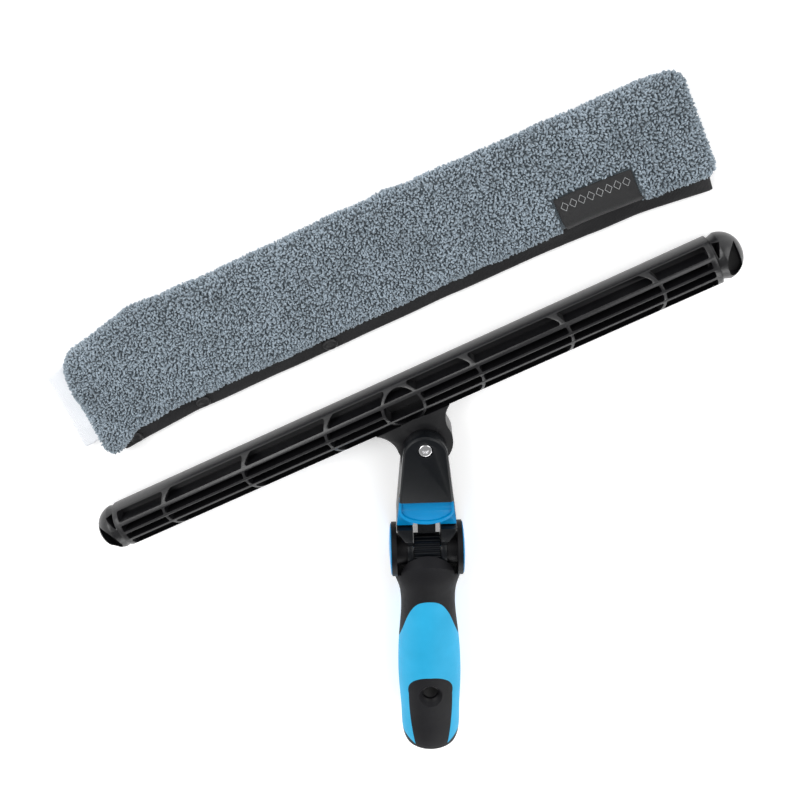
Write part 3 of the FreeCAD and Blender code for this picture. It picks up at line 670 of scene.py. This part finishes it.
def label_lozenges(bm):
    """A plain woven ornament: a row of small outlined lozenges."""
    y_mid = LABEL_LOW.y + 0.55 * (LABEL_HIGH.y - LABEL_LOW.y)
    wide, tall, thread = 1.7 * MM, 2.3 * MM, 0.30 * MM
    for i in range(8):
        x = LABEL_LOW.x + (i + 0.9) * (LABEL_HIGH.x - LABEL_LOW.x) / 8.8
        corners = [(x - wide, y_mid), (x, y_mid + tall), (x + wide, y_mid), (x, y_mid - tall)]
        for (xa, ya), (xb, yb) in zip(corners, corners[1:] + corners[:1]):
            steps = 5
            for k in range(steps):
                share = (k + 0.5) / steps
                spot = Vector((xa + share * (xb - xa), ya + share * (yb - ya), LABEL_TOP))
                angle = math.atan2(yb - ya, xb - xa)
                length = math.hypot(xb - xa, yb - ya) / steps
                place = Matrix.Translation(drape_of_label(spot)) @ Matrix.Rotation(angle, 4, "Z") \
                    @ Matrix.Diagonal((length * 1.15, thread, 0.12 * MM, 1))
                bmesh.ops.create_icosphere(bm, subdivisions=1, radius=0.5, matrix=place)


ornament = new_piece("label_ornament", label_lozenges, LABEL_THREAD, "sleeve")

PAD_LOW, PAD_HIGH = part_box("scrub_pad")


def lie_of_pad(point):
    out = ramp(PAD_HIGH.x - point.x, 0.0, PAD_HIGH.x - PAD_LOW.x)
    z = point.z - 0.0042 * out + 0.0006 * noise.noise(Vector((point.x * 120, point.y * 120, 1.0)))
    skew = (point.y - PAD_LOW.y) / (PAD_HIGH.y - PAD_LOW.y)
    y = point.y + stray(point.x, point.y) - 0.0045 * out
    return Vector((point.x + out * 0.0045 * skew, y, z))


def pad_slab(bm):
    rounded_slab(bm, PAD_LOW, PAD_HIGH, 1.4 * MM, (36, 44, 3), lie_of_pad)


pad = new_piece("scrub_pad_fleece", pad_slab, PAD_WHITE, "sleeve")
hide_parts("scrub_pad")

# ---- floor, light and camera ----
def table_top(bm):
    bmesh.ops.create_grid(bm, x_segments=1, y_segments=1, size=3.0)


FLOOR = new_piece("floor", table_top, None, None)
floor_paint, floor_nodes, _ = shaded("floor_paint")
floor_nodes["Principled BSDF"].inputs["Base Color"].default_value = (0.93, 0.93, 0.93, 1)
floor_nodes["Principled BSDF"].inputs["Roughness"].default_value = 0.8
floor_nodes["Principled BSDF"].inputs["Emission Color"].default_value = (1, 1, 1, 1)
floor_nodes["Principled BSDF"].inputs["Emission Strength"].default_value = 0.30
FLOOR.data.materials.append(floor_paint)

world = bpy.data.worlds.new("studio")
bpy.context.scene.world = world
world.use_nodes = True
sky = world.node_tree.nodes
toward = sky.new("ShaderNodeTexCoord")
parts_of = sky.new("ShaderNodeSeparateXYZ")
fade = sky.new("ShaderNodeMapRange")
fade.interpolation_type = "SMOOTHSTEP"
for name, value in (("From Min", 0.35), ("From Max", 0.75), ("To Min", 1.15), ("To Max", 0.30)):
    fade.inputs[name].default_value = value
world.node_tree.links.new(toward.outputs["Generated"], parts_of.inputs[0])
world.node_tree.links.new(parts_of.outputs["Z"], fade.inputs["Value"])
world.node_tree.links.new(fade.outputs[0], sky["Background"].inputs["Strength"])
sky["Background"].inputs["Color"].default_value = (1, 1, 1, 1)


def soft_light(name, place, aim, size, watts):
    lamp = bpy.data.lights.new(name, "AREA")
    lamp.energy = watts
    lamp.shape = "RECTANGLE"
    lamp.size, lamp.size_y = size
    light = bpy.data.objects.new(name, lamp)
    bpy.context.scene.collection.objects.link(light)
    light.location = place
    light.rotation_euler = (Vector(aim) - Vector(place)).to_track_quat("-Z", "Y").to_euler()


soft_light("key", (-0.55, 0.75, 0.95), (0, 0.02, 0), (0.9, 0.7), 9.0)
soft_light("fill", (0.85, 0.25, 0.80), (0, 0, 0), (0.7, 0.9), 5.0)
soft_light("rim", (0.0, -0.95, 0.55), (0, 0, 0), (1.0, 0.4), 4.0)

camera_data = bpy.data.cameras.new("camera")
camera_data.lens = 49.72
camera_data.sensor_width = 36.0
camera = bpy.data.objects.new("camera", camera_data)
bpy.context.scene.collection.objects.link(camera)
RIGHT = Vector((0.89686, -0.44211, 0.01369))
UP = Vector((0.40241, 0.80270, -0.44015))
BACK = Vector((0.18360, 0.40026, 0.89782))
CAP_LOW, CAP_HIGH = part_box("bar_end_cap_left")[0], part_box("bar_end_cap_right")[1]
BAR_AXIS = (CAP_LOW + CAP_HIGH) / 2
camera.matrix_world = Matrix.Translation(BAR_AXIS + Vector((0.098508, 0.218760, 0.491342))) \
    @ Matrix((RIGHT, UP, BACK)).transposed().to_4x4()
bpy.context.scene.camera = camera
bpy.context.scene.view_settings.view_transform = "Standard"
